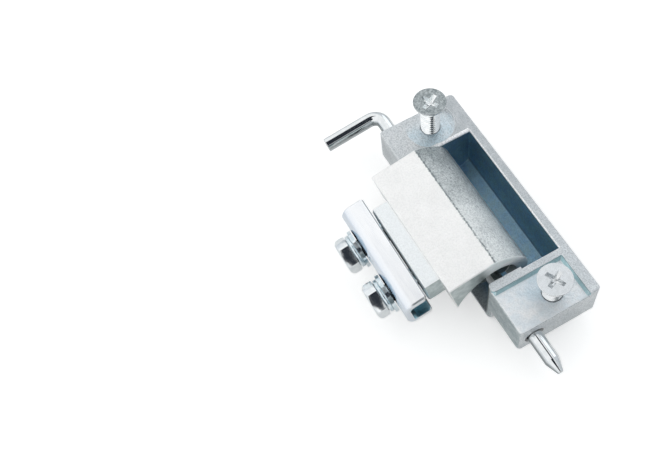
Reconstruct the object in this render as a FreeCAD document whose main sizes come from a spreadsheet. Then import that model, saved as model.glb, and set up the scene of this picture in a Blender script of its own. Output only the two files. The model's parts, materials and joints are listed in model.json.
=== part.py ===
"""Concealed lift-off hinge: a die-cast housing, a gooseneck arm and an L-shaped pin.

Every piece is drawn about the pin axis: X runs along the pin, from its handle to its tip,
Y runs from the arm's side of the housing to its far side, and Z rises to the housing's mouth.
The finished pieces stand in one frame with its origin on the rim's mounting face.
Lengths are in millimetres and angles in degrees.
"""
import FreeCAD, Part
import math
import os
import Sketcher
from FreeCAD import Placement, Rotation, Vector

doc = FreeCAD.newDocument("lift_off_hinge")
sheet = doc.addObject("Spreadsheet::Sheet", "Sizes")

# Driving sizes: alias, value, what it is
DRIVING = [
    # Housing
    ("housing_length", 78.0, "length along the pin"),
    ("housing_width", 26.1, "arm side to far side"),
    ("near_side", 4.9, "pin axis to the arm-side face"),
    ("rim_height", 7.1, "pin axis to the rim's mounting face"),
    ("land_drop", 1.4, "rim down to the screw lands"),
    ("land_depth", 12.8, "rim down to the back of the end lands"),
    ("box_depth", 19.2, "rim down to the back of the deep middle"),
    ("floor_wall", 1.1, "floor of the pocket"),
    ("far_wall", 2.8, "long wall of the pocket"),
    ("far_rim", 3.4, "long rim beside the lower land"),
    ("upper_end", 15.0, "housing's handle end to the pocket"),
    ("lower_end", 16.1, "housing's tip end to the pocket"),
    ("upper_wall", 1.3, "pocket's end wall at the handle end"),
    ("lower_wall", 2.1, "pocket's end wall at the tip end"),
    ("wall_jog", 0.7, "extra end wall beside the pin"),
    ("jog_width", 6.0, "pin axis to the end of that extra wall"),
    ("back_flat", 9.7, "pin axis to where the back starts to curve"),
    ("back_radius", 24.0, "curve of the back"),
    ("floor_radius", 16.0, "curve of the pocket's floor"),
    ("corner_radius", 1.2, "upright corners of the housing"),
    ("box_round", 2.2, "rounding of the deep middle's ends"),
    ("root_round", 1.2, "hollow rounding where the deep middle meets the lands"),
    ("back_bevel", 0.5, "bevel of the lands' back edges"),
    ("rim_bevel", 0.3, "bevel of the rim's and the lands' outer edges"),
    ("mouth_bevel", 0.3, "bevel of the pocket's mouth"),
    ("land_draft", 0.8, "slanted foot of the lower land's walls"),
    ("nose_radius", 1.1, "rounded end of the rib beside the arm"),
    ("screw_inset", 6.4, "housing's ends to the screws"),
    ("screw_reach", 9.6, "pin axis to the screws"),
    ("spot_radius", 7.6, "round spot face at the upper screw"),
    ("mouth_radius", 3.1, "wide mouth of the pin bore"),
    ("mouth_depth", 1.6, "depth of that mouth"),
    # Pin
    ("pin_radius", 2.25, "round steel rod"),
    ("pin_fit", 0.05, "radial clearance of the pin"),
    ("pin_past_end", 12.6, "tip beyond the housing"),
    ("taper_length", 3.9, "cone at the tip"),
    ("tip_radius", 0.9, "small end of the cone"),
    ("bend_gap", 6.0, "straight rod between the housing and the bend"),
    ("bend_radius", 3.6, "bend of the rod, at its middle"),
    ("handle_reach", 19.2, "handle's end from the pin axis"),
    ("handle_turn", 7.0, "handle below the housing's flat"),
    # Arm
    ("arm_droop", 10.5, "arm below the housing's mouth plane"),
    ("arm_play", 0.2, "arm to the pocket's end at the handle end"),
    ("end_gap", 2.4, "arm to the pocket's end at the tip end"),
    ("arm_top", 12.3, "pin axis to the flat top"),
    ("arm_back", 13.8, "pin axis to the arm's outer face"),
    ("arm_crease", 1.1, "pin axis to the edge of the flat top"),
    ("slope_radius", 18.0, "curve of the slope behind the flat top"),
    ("claw_radius", 10.8, "outside of the claw"),
    ("claw_high", 27.0, "angle at which the slope meets the claw"),
    ("claw_low", 36.0, "angle at which the claw ends"),
    ("knuckle_radius", 4.5, "eye around the pin"),
    ("hollow_radius", 7.0, "hollow that clears the sheet's edge"),
    ("hollow_start", 26.0, "angle of the hollow's closed end"),
    ("hollow_end", 104.0, "angle at which the hollow flares out"),
    ("flare_radius", 17.5, "long curve down to the spur"),
    ("spur_reach", 13.3, "pin axis to the spur's tip"),
    ("spur_drop", 2.2, "spur's tip below the pin axis"),
    ("knuckle_inset", 3.0, "eye shorter than the arm at each end"),
    ("arm_bevel", 0.25, "bevel of the arm's edges"),
    # Foot of the arm and its clamp
    ("foot_length", 29.3, "foot along the pin"),
    ("foot_inset", 5.15, "arm's tip-side end to the foot"),
    ("foot_out", 5.25, "foot beyond the arm's outer face"),
    ("foot_root", 1.0, "foot's overlap with the arm"),
    ("foot_step", 0.5, "foot's top below the arm's"),
    ("foot_height", 9.4, "foot from top to bottom"),
    ("foot_bevel", 0.5, "bevel of the foot's edges"),
    ("sheet_gap", 0.45, "slot for the sheet between foot and channel"),
    ("channel_length", 37.0, "channel along the pin"),
    ("channel_height", 12.0, "channel from top to bottom"),
    ("channel_depth", 7.8, "channel from web to flange edges"),
    ("channel_wall", 2.0, "channel's sheet"),
    ("channel_corner", 3.4, "outside of the channel's bends"),
    ("channel_bevel", 0.4, "bevel of the channel's ends"),
    ("flange_round", 0.9, "cut corners of the channel's flanges"),
    ("channel_shift", -0.4, "channel's middle from the bolts' middle"),
    ("clamp_shift", -0.8, "bolts' middle from the foot's middle"),
    ("clamp_height", 6.4, "pin axis up to the bolts"),
    ("bolt_pitch", 16.6, "bolt to bolt"),
    # Fasteners
    ("bolt_radius", 3.0, "M6 bolt"),
    ("bolt_length", 16.0, "bolt under its head"),
    ("bolt_flats", 10.0, "across the hexagon's flats"),
    ("bolt_head", 3.7, "height of the hexagon"),
    ("web_hole_play", 0.3, "radial clearance in the channel's web"),
    ("thread_play", 0.1, "radial clearance of a smooth thread"),
    ("washer_lift", 0.3, "flat washer off the channel's web"),
    ("washer_radius", 6.0, "flat washer"),
    ("washer_thick", 1.1, "flat washer"),
    ("washer_play", 0.2, "radial clearance of the washers"),
    ("spring_radius", 5.2, "spring washer"),
    ("spring_thick", 1.3, "spring washer"),
    ("spring_slit", 0.9, "slit of the spring washer"),
    ("screw_radius", 3.0, "M6 countersunk screw"),
    ("screw_length", 16.0, "whole screw"),
    ("screw_head_radius", 5.0, "countersunk head"),
    ("screw_head_edge", 0.45, "straight edge of the head"),
    ("screw_up_high", 12.5, "upper head above its land"),
    ("screw_up_low", 7.9, "lower head above its land"),
    ("cross_span", 5.2, "cross recess from tip to tip"),
    ("cross_slot", 1.1, "width of one slot of the cross"),
    ("cross_deep", 1.7, "depth of the cross recess"),
    ("screw_point", 0.8, "chamfer at a thread's end"),
    ("cross_turn", 25.0, "turn of the cross recess"),
    ("tap_past", 1.0, "tapped hole beyond the bolt's end"),
    ("margin", 5.0, "how far a cut runs past the metal"),
]

# Sizes that follow from the driving ones
DERIVED = [
    ("half_length", "housing_length / 2"),
    ("far_side", "housing_width - near_side"),
    ("corner_end", "half_length - corner_radius"),
    ("corner_near", "near_side - corner_radius"),
    ("corner_far", "far_side - corner_radius"),
    ("land_top", "rim_height - land_drop"),
    ("land_back", "rim_height - land_depth"),
    ("box_back", "rim_height - box_depth"),
    ("floor_top", "box_back + floor_wall"),
    ("far_inner", "far_side - far_wall"),
    ("rim_inner", "far_side - far_rim"),
    ("pocket_from", "upper_end - half_length"),
    ("pocket_to", "half_length - lower_end"),
    ("box_from", "pocket_from - upper_wall"),
    ("rib_to", "pocket_to + lower_wall"),
    ("box_long", "rib_to - box_from"),
    ("pocket_near_to", "pocket_to - wall_jog"),
    ("pocket_near_long", "pocket_near_to - pocket_from"),
    ("back_rise", "box_back + back_radius - sqrt(back_radius ^ 2 - (far_side - back_flat) ^ 2)"),
    ("floor_rise", "floor_top + floor_radius - sqrt(floor_radius ^ 2 - (far_inner - back_flat) ^ 2)"),
    ("over_mouth", "rim_height + margin"),
    ("past_near", "near_side + margin"),
    ("past_end", "half_length + margin"),
    ("nose_side", "near_side - nose_radius"),
    ("nose_land", "rib_to - nose_radius"),
    ("nose_pocket", "pocket_near_to + nose_radius"),
    ("nose_past", "pocket_near_to - nose_radius"),
    ("nose_tall", "over_mouth - floor_top"),
    ("screw_from_mid", "half_length - screw_inset"),
    ("hole_radius", "screw_radius + thread_play"),
    ("bore_radius", "pin_radius + pin_fit"),
    ("mouth_from", "half_length - mouth_depth"),
    # Pin
    ("pin_tip", "half_length + pin_past_end"),
    ("pin_cone", "pin_tip - taper_length"),
    ("pin_bend", "half_length + bend_gap"),
    ("pin_handle", "pin_bend + bend_radius"),
    # Arm
    ("arm_from", "pocket_from + arm_play"),
    ("arm_to", "pocket_near_to - end_gap"),
    ("arm_length", "arm_to - arm_from"),
    ("claw_y", "claw_radius * cos(claw_high * 1 deg)"),
    ("claw_z", "claw_radius * sin(claw_high * 1 deg)"),
    ("claw_end_y", "claw_radius * cos(claw_low * 1 deg)"),
    ("claw_end_z", "claw_radius * sin(claw_low * 1 deg)"),
    ("eye_y", "knuckle_radius * cos(hollow_start * 1 deg)"),
    ("eye_z", "knuckle_radius * sin(hollow_start * 1 deg)"),
    ("hollow_y", "hollow_radius * cos(hollow_start * 1 deg)"),
    ("hollow_z", "hollow_radius * sin(hollow_start * 1 deg)"),
    ("slot_radius", "(hollow_radius - knuckle_radius) * 0.56"),
    ("flare_y", "hollow_radius * cos(hollow_end * 1 deg)"),
    ("flare_z", "hollow_radius * sin(hollow_end * 1 deg)"),
    ("eye_to", "arm_to - knuckle_inset"),
    # Foot and clamp
    ("foot_to", "arm_to - foot_inset"),
    ("foot_from", "foot_to - foot_length"),
    ("clamp_mid", "foot_from + foot_length / 2 + clamp_shift"),
    ("foot_edge", "arm_back + foot_out"),
    ("foot_top", "arm_top - foot_step"),
    ("foot_base", "foot_top - foot_height"),
    ("foot_inner", "arm_back - foot_root"),
    ("tap_radius", "bolt_radius + thread_play"),
    ("flange_edge", "foot_edge + sheet_gap"),
    ("web_out", "flange_edge + channel_depth"),
    ("web_in", "web_out - channel_wall"),
    ("channel_from", "clamp_mid + channel_shift - channel_length / 2"),
    ("channel_to", "channel_from + channel_length"),
    ("channel_top", "clamp_height + channel_height / 2"),
    ("channel_low", "clamp_height - channel_height / 2"),
    ("channel_top_in", "channel_top - channel_wall"),
    ("channel_low_in", "channel_low + channel_wall"),
    ("bend_in", "channel_corner - channel_wall"),
    ("web_round", "web_out - channel_corner"),
    ("top_round", "channel_top - channel_corner"),
    ("low_round", "channel_low + channel_corner"),
    ("web_hole_radius", "bolt_radius + web_hole_play"),
    ("bolt_one", "clamp_mid - bolt_pitch / 2"),
    ("bolt_two", "clamp_mid + bolt_pitch / 2"),
    ("flat_face", "web_out + washer_lift"),
    ("spring_face", "flat_face + washer_thick"),
    ("head_face", "spring_face + spring_thick"),
    ("tap_depth", "bolt_length - (head_face - foot_edge) + tap_past"),
    ("slit_low", "clamp_height - spring_radius - margin"),
    ("bolt_one_slit_from", "bolt_one - spring_slit / 2"),
    ("bolt_one_slit_to", "bolt_one + spring_slit / 2"),
    ("bolt_two_slit_from", "bolt_two - spring_slit / 2"),
    ("bolt_two_slit_to", "bolt_two + spring_slit / 2"),
    ("washer_hole", "bolt_radius + washer_play"),
    # Screws
    ("screw_top_high", "land_top + screw_up_high"),
    ("screw_top_low", "land_top + screw_up_low"),
    ("screw_tip", "screw_radius - screw_point"),
    ("screw_end", "screw_length - screw_point"),
    ("screw_neck", "screw_head_edge + screw_head_radius - screw_radius"),
    ("cross_half", "cross_span / 2"),
    ("slot_half", "cross_slot / 2"),
    # The frame's origin lies on the rim, at mid-length
    ("frame_y", "far_side - far_rim / 2"),
]

row = 0
for alias, value, meaning in DRIVING:
    row += 1
    sheet.set(f"A{row}", meaning)
    sheet.set(f"B{row}", str(value))
    sheet.setAlias(f"B{row}", alias)
for alias, formula in DERIVED:
    row += 1
    sheet.set(f"A{row}", alias.replace("_", " "))
    sheet.set(f"B{row}", "=" + formula)
    sheet.setAlias(f"B{row}", alias)
doc.recompute()


def size(name):
    """The number in a named cell; a minus sign before the name turns it round."""
    if name == "0":
        return 0.0
    if name.startswith("-"):
        return -size(name[1:])
    value = sheet.get(name)
    return float(getattr(value, "Value", value))


def bind(thing, prop, name):
    """Ties one property to a cell of the sheet."""
    sign = "-" if name.startswith("-") else ""
    thing.setExpression(prop, f"{sign}Sizes.{name.lstrip('-')}")


def new_body(label):
    """An empty body whose label is the piece's name."""
    body = doc.addObject("PartDesign::Body", label)
    body.Label = label
    return body


def plane_of(body, role):
    """One of a body's own origin planes."""
    for feature in body.Origin.OriginFeatures:
        if feature.Role == role:
            return feature
    raise RuntimeError(f"{body.Label} has no {role}")


def new_sketch(body, name, role, start=None):
    """A sketch on an origin plane, moved along the plane's normal to a named distance."""
    sketch = body.newObject("Sketcher::SketchObject", name)
    sketch.AttachmentSupport = [(plane_of(body, role), "")]
    sketch.MapMode = "FlatFace"
    if start:
        bind(sketch, "AttachmentOffset.Base.z", start)
    return sketch


def pin_down(sketch, edge, end, across, along):
    """Fixes one point of a sketch at two named distances from the sketch's origin."""
    for kind, axis, name in (("DistanceX", 0, across), ("DistanceY", 1, along)):
        if name == "0":
            on_line = -2 if axis == 0 else -1
            sketch.addConstraint(Sketcher.Constraint("PointOnObject", edge, end, on_line))
            continue
        index = sketch.addConstraint(Sketcher.Constraint(kind, -1, 1, edge, end, size(name)))
        bind(sketch, f"Constraints[{index}]", name)


def outline(body, name, role, points, start=None):
    """A closed sketch through named points.

    Each point is (across, along) or (across, along, radius, turn). The radius and turn bend
    the edge that leaves the point: turn 1 goes round to the left and -1 to the right.
    """
    sketch = new_sketch(body, name, role, start)
    spots = [Vector(size(point[0]), size(point[1]), 0) for point in points]
    ends = []
    for number, point in enumerate(points):
        here = spots[number]
        there = spots[(number + 1) % len(points)]
        if len(point) == 2:
            edge = sketch.addGeometry(Part.LineSegment(here, there), False)
            ends.append((edge, 1, 2))
            continue
        radius = size(point[2])
        turn = point[3]
        chord = there - here
        middle = (here + there) * 0.5
        rise = math.sqrt(max(radius ** 2 - (chord.Length / 2) ** 2, 0.0))
        left = Vector(-chord.y, chord.x, 0).normalize()
        centre = middle + left * rise * turn
        first, last = (here, there) if turn > 0 else (there, here)
        from_angle = math.atan2(first.y - centre.y, first.x - centre.x)
        to_angle = math.atan2(last.y - centre.y, last.x - centre.x)
        if to_angle <= from_angle:
            to_angle += 2 * math.pi
        circle = Part.Circle(centre, Vector(0, 0, 1), radius)
        edge = sketch.addGeometry(Part.ArcOfCircle(circle, from_angle, to_angle), False)
        ends.append((edge, 1, 2) if turn > 0 else (edge, 2, 1))
        index = sketch.addConstraint(Sketcher.Constraint("Radius", edge, radius))
        bind(sketch, f"Constraints[{index}]", point[2])
    for number, (edge, first, last) in enumerate(ends):
        after, after_first, _ = ends[(number + 1) % len(ends)]
        sketch.addConstraint(Sketcher.Constraint("Coincident", edge, last, after, after_first))
    for number, (edge, first, last) in enumerate(ends):
        pin_down(sketch, edge, first, points[number][0], points[number][1])
    return sketch


def rings(body, name, role, circles, start=None):
    """A sketch of full circles, each (across, along, radius)."""
    sketch = new_sketch(body, name, role, start)
    for across, along, radius in circles:
        centre = Vector(size(across), size(along), 0)
        edge = sketch.addGeometry(Part.Circle(centre, Vector(0, 0, 1), size(radius)), False)
        index = sketch.addConstraint(Sketcher.Constraint("Radius", edge, size(radius)))
        bind(sketch, f"Constraints[{index}]", radius)
        pin_down(sketch, edge, 3, across, along)
    return sketch


def pad(body, sketch, name, length, backwards=False):
    """Adds a sketch's area along its normal."""
    feature = body.newObject("PartDesign::Pad", name)
    feature.Profile = sketch
    feature.Reversed = backwards
    bind(feature, "Length", length)
    return feature


def cut(body, sketch, name, length=None, backwards=False):
    """Takes a sketch's area away along its normal, or right through both ways."""
    feature = body.newObject("PartDesign::Pocket", name)
    feature.Profile = sketch
    if length:
        # A pocket runs against the sketch's normal unless it is reversed
        feature.Reversed = not backwards
        bind(feature, "Length", length)
    else:
        feature.Type = "ThroughAll"
        feature.Midplane = True
    return feature


def turned(body, sketch, name, axis):
    """Revolves a half section about one of the sketch's own axes."""
    feature = body.newObject("PartDesign::Revolution", name)
    feature.Profile = sketch
    feature.ReferenceAxis = (sketch, [axis])
    feature.Angle = 360
    return feature


def eased(body, name, kind, amount, places):
    """Rounds or bevels the edges of a body that lie at named places.

    The kind is Fillet or Chamfer. Each place is three names, for x, y and z, and None where
    an edge may run.
    """
    doc.recompute()
    base = body.Tip
    edges = []
    for number, edge in enumerate(base.Shape.Edges, 1):
        ends = [vertex.Point for vertex in edge.Vertexes]
        for place in places:
            wanted = [(axis, size(name)) for axis, name in zip("xyz", place) if name]
            if all(abs(getattr(end, axis) - value) < 0.005 for end in ends
                   for axis, value in wanted):
                edges.append(f"Edge{number}")
                break
    if not edges:
        raise RuntimeError(f"{body.Label} has no edge for {name}")
    feature = body.newObject("PartDesign::" + kind, name)
    feature.Base = (base, edges)
    bind(feature, "Radius" if kind == "Fillet" else "Size", amount)
    return feature


def seat(body, turn=None):
    """Puts a piece drawn about the pin axis into the finished frame."""
    angle = size(turn) if turn else 0.0
    axis = Rotation(Vector(1, 0, 0), angle)
    body.Placement = Placement(Vector(0, -size("frame_y"), -size("rim_height")), axis)
    bind(body, "Placement.Base.y", "-frame_y")
    bind(body, "Placement.Base.z", "-rim_height")
    if turn:
        body.setExpression("Placement.Rotation.Angle", f"Sizes.{turn} * 1 deg")


# Housing: one zinc casting
housing = new_body("housing")

# The end lands run the whole length, with rounded upright corners
block = outline(housing, "block_plan", "XY_Plane", [
    ("-corner_end", "-near_side"),
    ("corner_end", "-near_side", "corner_radius", 1),
    ("half_length", "-corner_near"),
    ("half_length", "corner_far", "corner_radius", 1),
    ("corner_end", "far_side"),
    ("-corner_end", "far_side", "corner_radius", 1),
    ("-half_length", "corner_far"),
    ("-half_length", "-corner_near", "corner_radius", 1),
], "land_back")
pad(housing, block, "block", "land_depth")

# The deep middle, whose back curves up to the far side
box_profile = outline(housing, "box_profile", "YZ_Plane", [
    ("-near_side", "box_back"),
    ("back_flat", "box_back", "back_radius", 1),
    ("far_side", "back_rise"),
    ("far_side", "rim_height"),
    ("-near_side", "rim_height"),
], "box_from")
pad(housing, box_profile, "box", "box_long")
eased(housing, "box_rounding", "Fillet", "box_round", [
    ("box_from", None, "box_back"),
    ("rib_to", None, "box_back"),
])
eased(housing, "root_rounding", "Fillet", "root_round", [
    ("box_from", None, "land_back"),
    ("rib_to", None, "land_back"),
])
eased(housing, "back_edge", "Chamfer", "back_bevel", [
    ("half_length", None, "land_back"),
    ("-half_length", None, "land_back"),
])
eased(housing, "rim_edge", "Chamfer", "rim_bevel", [
    ("half_length", None, "rim_height"),
    ("-half_length", None, "rim_height"),
])

# The pocket is open at the mouth and on the arm's side
pocket_profile = outline(housing, "pocket_profile", "YZ_Plane", [
    ("-past_near", "floor_top"),
    ("back_flat", "floor_top", "floor_radius", 1),
    ("far_inner", "floor_rise"),
    ("far_inner", "over_mouth"),
    ("-past_near", "over_mouth"),
], "pocket_from")
cut(housing, pocket_profile, "pocket", "pocket_near_long")
jog_profile = outline(housing, "jog_profile", "YZ_Plane", [
    ("jog_width", "floor_top"),
    ("back_flat", "floor_top", "floor_radius", 1),
    ("far_inner", "floor_rise"),
    ("far_inner", "over_mouth"),
    ("jog_width", "over_mouth"),
], "pocket_near_to")
cut(housing, jog_profile, "pocket_jog", "wall_jog")

# Lower land: a recess inside the long rim and the rib, whose end is rounded
lower_recess = outline(housing, "lower_recess", "XY_Plane", [
    ("nose_land", "-near_side", "nose_radius", 1),
    ("rib_to", "-nose_side"),
    ("rib_to", "rim_inner"),
    ("past_end", "rim_inner"),
    ("past_end", "-past_near"),
    ("nose_land", "-past_near"),
], "land_top")
cut(housing, lower_recess, "lower_land", "margin")
rib_nose = outline(housing, "rib_nose", "XY_Plane", [
    ("pocket_near_to", "-nose_side", "nose_radius", 1),
    ("nose_pocket", "-near_side"),
    ("nose_pocket", "-past_near"),
    ("nose_past", "-past_near"),
    ("nose_past", "-nose_side"),
], "floor_top")
cut(housing, rib_nose, "rib_nose_cut", "nose_tall")

# Upper land: open towards the arm's side, with a round spot face at the screw
upper_recess = outline(housing, "upper_recess", "XY_Plane", [
    ("-past_end", "-past_near"),
    ("box_from", "-past_near"),
    ("box_from", "screw_reach"),
    ("-past_end", "screw_reach"),
], "land_top")
cut(housing, upper_recess, "upper_land", "past_near")
spot = rings(housing, "spot_face", "XY_Plane", [
    ("-screw_from_mid", "screw_reach", "spot_radius"),
], "land_top")
cut(housing, spot, "spot", "past_near")

eased(housing, "land_edge", "Chamfer", "rim_bevel", [
    ("half_length", None, "land_top"),
    ("-half_length", None, "land_top"),
])

eased(housing, "land_walls", "Chamfer", "land_draft", [
    (None, "rim_inner", "land_top"),
    ("rib_to", None, "land_top"),
])
eased(housing, "mouth_edge", "Chamfer", "mouth_bevel", [
    (None, "far_inner", "rim_height"),
    ("pocket_from", None, "rim_height"),
])

# Threaded screw holes and the pin's bore, which opens wider at the tip end
screw_holes = rings(housing, "screw_holes", "XY_Plane", [
    ("-screw_from_mid", "screw_reach", "hole_radius"),
    ("screw_from_mid", "screw_reach", "hole_radius"),
])
cut(housing, screw_holes, "screw_hole")
bore = rings(housing, "bore_ring", "YZ_Plane", [("0", "0", "bore_radius")])
cut(housing, bore, "bore")
bore_mouth = rings(housing, "bore_mouth_ring", "YZ_Plane", [("0", "0", "mouth_radius")], "mouth_from")
cut(housing, bore_mouth, "bore_mouth", "past_near")
seat(housing)

# Arm: one zinc casting with a claw that hooks round to the eye
arm = new_body("arm")
arm_profile = outline(arm, "arm_profile", "YZ_Plane", [
    ("-arm_back", "arm_top"),
    ("-spur_reach", "-spur_drop", "flare_radius", -1),
    ("flare_y", "flare_z", "hollow_radius", -1),
    ("hollow_y", "hollow_z", "slot_radius", -1),
    ("eye_y", "eye_z", "knuckle_radius", 1),
    ("-knuckle_radius", "0", "knuckle_radius", 1),
    ("0", "-knuckle_radius"),
    ("claw_end_y", "-claw_end_z", "claw_radius", 1),
    ("claw_y", "claw_z", "slope_radius", 1),
    ("arm_crease", "arm_top"),
], "arm_from")
pad(arm, arm_profile, "gooseneck", "arm_length")
eased(arm, "arm_edge", "Chamfer", "arm_bevel", [
    ("arm_from", None, None),
    ("arm_to", None, None),
    (None, "-arm_back", "arm_top"),
    (None, "claw_y", "claw_z"),
])
foot_profile = outline(arm, "foot_profile", "YZ_Plane", [
    ("-foot_edge", "foot_base"),
    ("-foot_inner", "foot_base"),
    ("-foot_inner", "foot_top"),
    ("-foot_edge", "foot_top"),
], "foot_from")
pad(arm, foot_profile, "foot", "foot_length")
eased(arm, "foot_edges", "Chamfer", "foot_bevel", [
    (None, "-foot_edge", "foot_top"),
    ("foot_from", "-foot_edge", None),
    ("foot_to", "-foot_edge", None),
])
eye_bore = rings(arm, "eye_bore", "YZ_Plane", [("0", "0", "bore_radius")])
cut(arm, eye_bore, "eye")
for end, start in (("handle_end", "arm_from"), ("tip_end", "eye_to")):
    inset = rings(arm, f"{end}_inset", "YZ_Plane", [("0", "0", "hollow_radius")], start)
    cut(arm, inset, f"{end}_clearance", "knuckle_inset")
taps = rings(arm, "taps", "XZ_Plane", [
    ("bolt_one", "clamp_height", "tap_radius"),
    ("bolt_two", "clamp_height", "tap_radius"),
], "foot_edge")
cut(arm, taps, "tapped_hole", "tap_depth", backwards=True)
seat(arm, "arm_droop")

# Pin: a straight rod with a tapered tip and a handle bent square to it
pin = new_body("pin")
pin_half = outline(pin, "pin_half", "XY_Plane", [
    ("-pin_bend", "0"),
    ("pin_tip", "0"),
    ("pin_tip", "tip_radius"),
    ("pin_cone", "pin_radius"),
    ("-pin_bend", "pin_radius"),
])
turned(pin, pin_half, "rod", "H_Axis")
rod_ring = rings(pin, "rod_ring", "YZ_Plane", [("0", "0", "pin_radius")], "-pin_bend")
handle_path = new_sketch(pin, "handle_path", "XY_Plane")
bend_centre = Vector(-size("pin_bend"), -size("bend_radius"), 0)
bend = Part.Circle(bend_centre, Vector(0, 0, 1), size("bend_radius"))
handle_path.addGeometry(Part.ArcOfCircle(bend, math.pi / 2, math.pi), False)
handle_path.addGeometry(Part.LineSegment(
    Vector(-size("pin_handle"), -size("bend_radius"), 0),
    Vector(-size("pin_handle"), -size("handle_reach"), 0),
), False)
handle_path.addConstraint(Sketcher.Constraint("Tangent", 0, 2, 1, 1))
handle_path.addConstraint(Sketcher.Constraint("Vertical", 1))
index = handle_path.addConstraint(Sketcher.Constraint("Radius", 0, size("bend_radius")))
bind(handle_path, f"Constraints[{index}]", "bend_radius")
pin_down(handle_path, 0, 1, "-pin_bend", "0")
index = handle_path.addConstraint(
    Sketcher.Constraint("DistanceX", -1, 1, 1, 2, -size("pin_handle")))
bind(handle_path, f"Constraints[{index}]", "-pin_handle")
index = handle_path.addConstraint(
    Sketcher.Constraint("DistanceY", -1, 1, 1, 2, -size("handle_reach")))
bind(handle_path, f"Constraints[{index}]", "-handle_reach")
doc.recompute()
handle = pin.newObject("PartDesign::AdditivePipe", "handle")
handle.Profile = rod_ring
handle.Spine = (handle_path, ["Edge1", "Edge2"])
seat(pin, "handle_turn")


def screw(label, along, top):
    """A countersunk screw with a cross recess, standing proud of its land."""
    body = new_body(label)
    half_section = outline(body, label + "_half", "XZ_Plane", [
        ("0", "0"),
        ("0", "-screw_length"),
        ("screw_tip", "-screw_length"),
        ("screw_radius", "-screw_end"),
        ("screw_radius", "-screw_neck"),
        ("screw_head_radius", "-screw_head_edge"),
        ("screw_head_radius", "0"),
    ])
    turned(body, half_section, label + "_turned", "V_Axis")
    for slot, across, along_slot in (
        ("long", "cross_half", "slot_half"),
        ("wide", "slot_half", "cross_half"),
    ):
        cross = outline(body, f"{label}_{slot}", "XY_Plane", [
            ("-" + across, "-" + along_slot),
            (across, "-" + along_slot),
            (across, along_slot),
            ("-" + across, along_slot),
        ])
        recess = body.newObject("PartDesign::Pocket", f"{label}_{slot}_recess")
        recess.Profile = cross
        bind(recess, "Length", "cross_deep")
    body.Placement = Placement(
        Vector(size(along), size("screw_reach") - size("frame_y"),
               size(top) - size("rim_height")),
        Rotation(Vector(0, 0, 1), size("cross_turn")))
    bind(body, "Placement.Base.x", along)
    body.setExpression("Placement.Base.y", "Sizes.screw_reach - Sizes.frame_y")
    body.setExpression("Placement.Base.z", f"Sizes.{top} - Sizes.rim_height")
    body.setExpression("Placement.Rotation.Angle", "Sizes.cross_turn * 1 deg")
    return body


screw("screw_upper", "-screw_from_mid", "screw_top_high")
screw("screw_lower", "screw_from_mid", "screw_top_low")

# Channel: a bent steel strip that clamps the sheet against the foot
channel = new_body("channel")
channel_profile = outline(channel, "channel_profile", "YZ_Plane", [
    ("-flange_edge", "channel_top"),
    ("-web_round", "channel_top", "channel_corner", 1),
    ("-web_out", "top_round"),
    ("-web_out", "low_round", "channel_corner", 1),
    ("-web_round", "channel_low"),
    ("-flange_edge", "channel_low"),
    ("-flange_edge", "channel_low_in"),
    ("-web_round", "channel_low_in", "bend_in", -1),
    ("-web_in", "low_round"),
    ("-web_in", "top_round", "bend_in", -1),
    ("-web_round", "channel_top_in"),
    ("-flange_edge", "channel_top_in"),
], "channel_from")
pad(channel, channel_profile, "strip", "channel_length")
eased(channel, "flange_corners", "Chamfer", "flange_round", [
    ("channel_from", "-flange_edge", None),
    ("channel_to", "-flange_edge", None),
])
eased(channel, "strip_ends", "Chamfer", "channel_bevel", [
    ("channel_from", "-web_out", None),
    ("channel_to", "-web_out", None),
])
web_holes = rings(channel, "web_holes", "XZ_Plane", [
    ("bolt_one", "clamp_height", "web_hole_radius"),
    ("bolt_two", "clamp_height", "web_hole_radius"),
])
cut(channel, web_holes, "web_hole")
seat(channel, "arm_droop")


def ring_washer(label, place, outer, thick, face, slit=False):
    """A washer around one bolt; a spring washer is slit at one side."""
    body = new_body(label)
    sketch = rings(body, label + "_rings", "XZ_Plane", [
        (place, "clamp_height", outer),
        (place, "clamp_height", "washer_hole"),
    ], face)
    pad(body, sketch, label + "_ring", thick)
    if slit:
        gap = outline(body, label + "_gap", "XZ_Plane", [
            (place + "_slit_from", "slit_low"),
            (place + "_slit_to", "slit_low"),
            (place + "_slit_to", "clamp_height"),
            (place + "_slit_from", "clamp_height"),
        ], face)
        cut(body, gap, label + "_slit", thick)
    seat(body, "arm_droop")
    return body


def hex_bolt(label, place):
    """A hexagon bolt: its head faces away from the arm and its shank runs into the foot."""
    body = new_body(label)
    head = new_sketch(body, label + "_hexagon", "XZ_Plane", "head_face")
    x = size(place)
    z = size("clamp_height")
    reach = size("bolt_flats") / math.sqrt(3)
    marks = []
    for number in range(6):
        angle = math.radians(60 * number + 30)
        marks.append(Vector(x + reach * math.cos(angle), z + reach * math.sin(angle), 0))
    for number in range(6):
        head.addGeometry(Part.LineSegment(marks[number], marks[(number + 1) % 6]), False)
    guide = head.addGeometry(Part.Circle(Vector(x, z, 0), Vector(0, 0, 1), reach), True)
    for number in range(6):
        head.addConstraint(Sketcher.Constraint("Coincident", number, 2, (number + 1) % 6, 1))
        head.addConstraint(Sketcher.Constraint("PointOnObject", number, 1, guide))
    for number in range(1, 6):
        head.addConstraint(Sketcher.Constraint("Equal", 0, number))
    head.addConstraint(Sketcher.Constraint("Vertical", 5))
    pin_down(head, guide, 3, place, "clamp_height")
    index = head.addConstraint(Sketcher.Constraint("Radius", guide, reach))
    head.setExpression(f"Constraints[{index}]", "Sizes.bolt_flats / sqrt(3)")
    pad(body, head, label + "_head", "bolt_head")
    shank = rings(body, label + "_shank_ring", "XZ_Plane", [
        (place, "clamp_height", "bolt_radius"),
    ], "head_face")
    pad(body, shank, label + "_shank", "bolt_length", backwards=True)
    seat(body, "arm_droop")
    return body


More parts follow.
